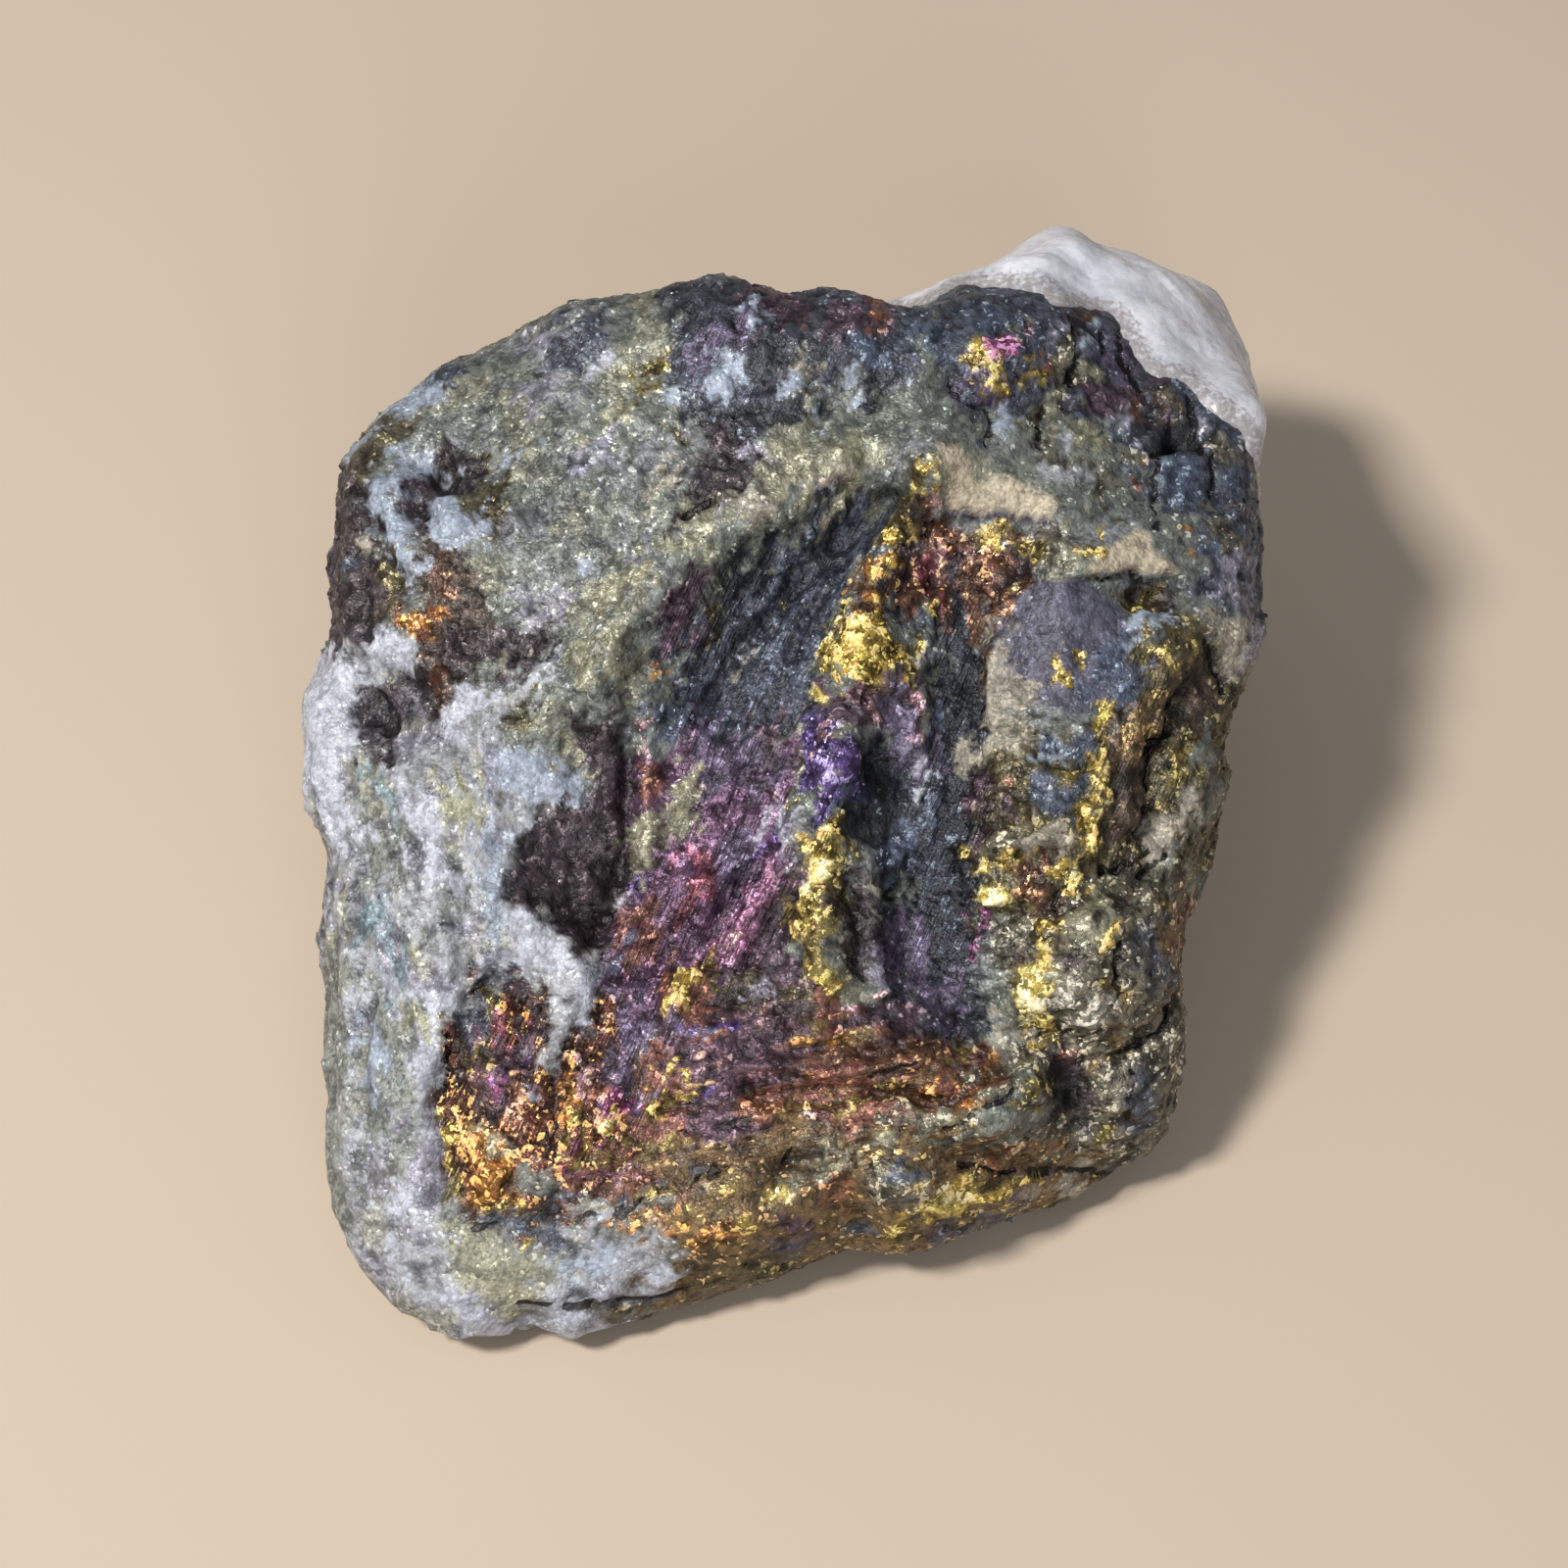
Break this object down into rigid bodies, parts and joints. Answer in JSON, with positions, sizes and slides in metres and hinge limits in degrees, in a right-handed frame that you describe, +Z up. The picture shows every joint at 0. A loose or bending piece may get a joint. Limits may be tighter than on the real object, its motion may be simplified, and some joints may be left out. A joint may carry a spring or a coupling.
{
  "type": "peacock ore specimen",
  "caption": "Wedge-shaped block of tarnished peacock ore with pale matrix and a lump of milky quartz, resting on a flat spot for display.",
  "frame": {"origin": "the middle of the stone's bounding box, on the surface that it rests on", "axes": "+Z up; the broad tarnished face looks towards -Y and up, and climbs towards +Y; the quartz is at the back, on the +X side"},
  "size_m": [0.0616, 0.0726, 0.036],
  "materials": {
    "tarnished_ore": "satin",
    "milky_quartz": "satin"
  },
  "bodies": {
    "root": {"ore_stone": "tarnished_ore"}
  },
  "joints": []
}
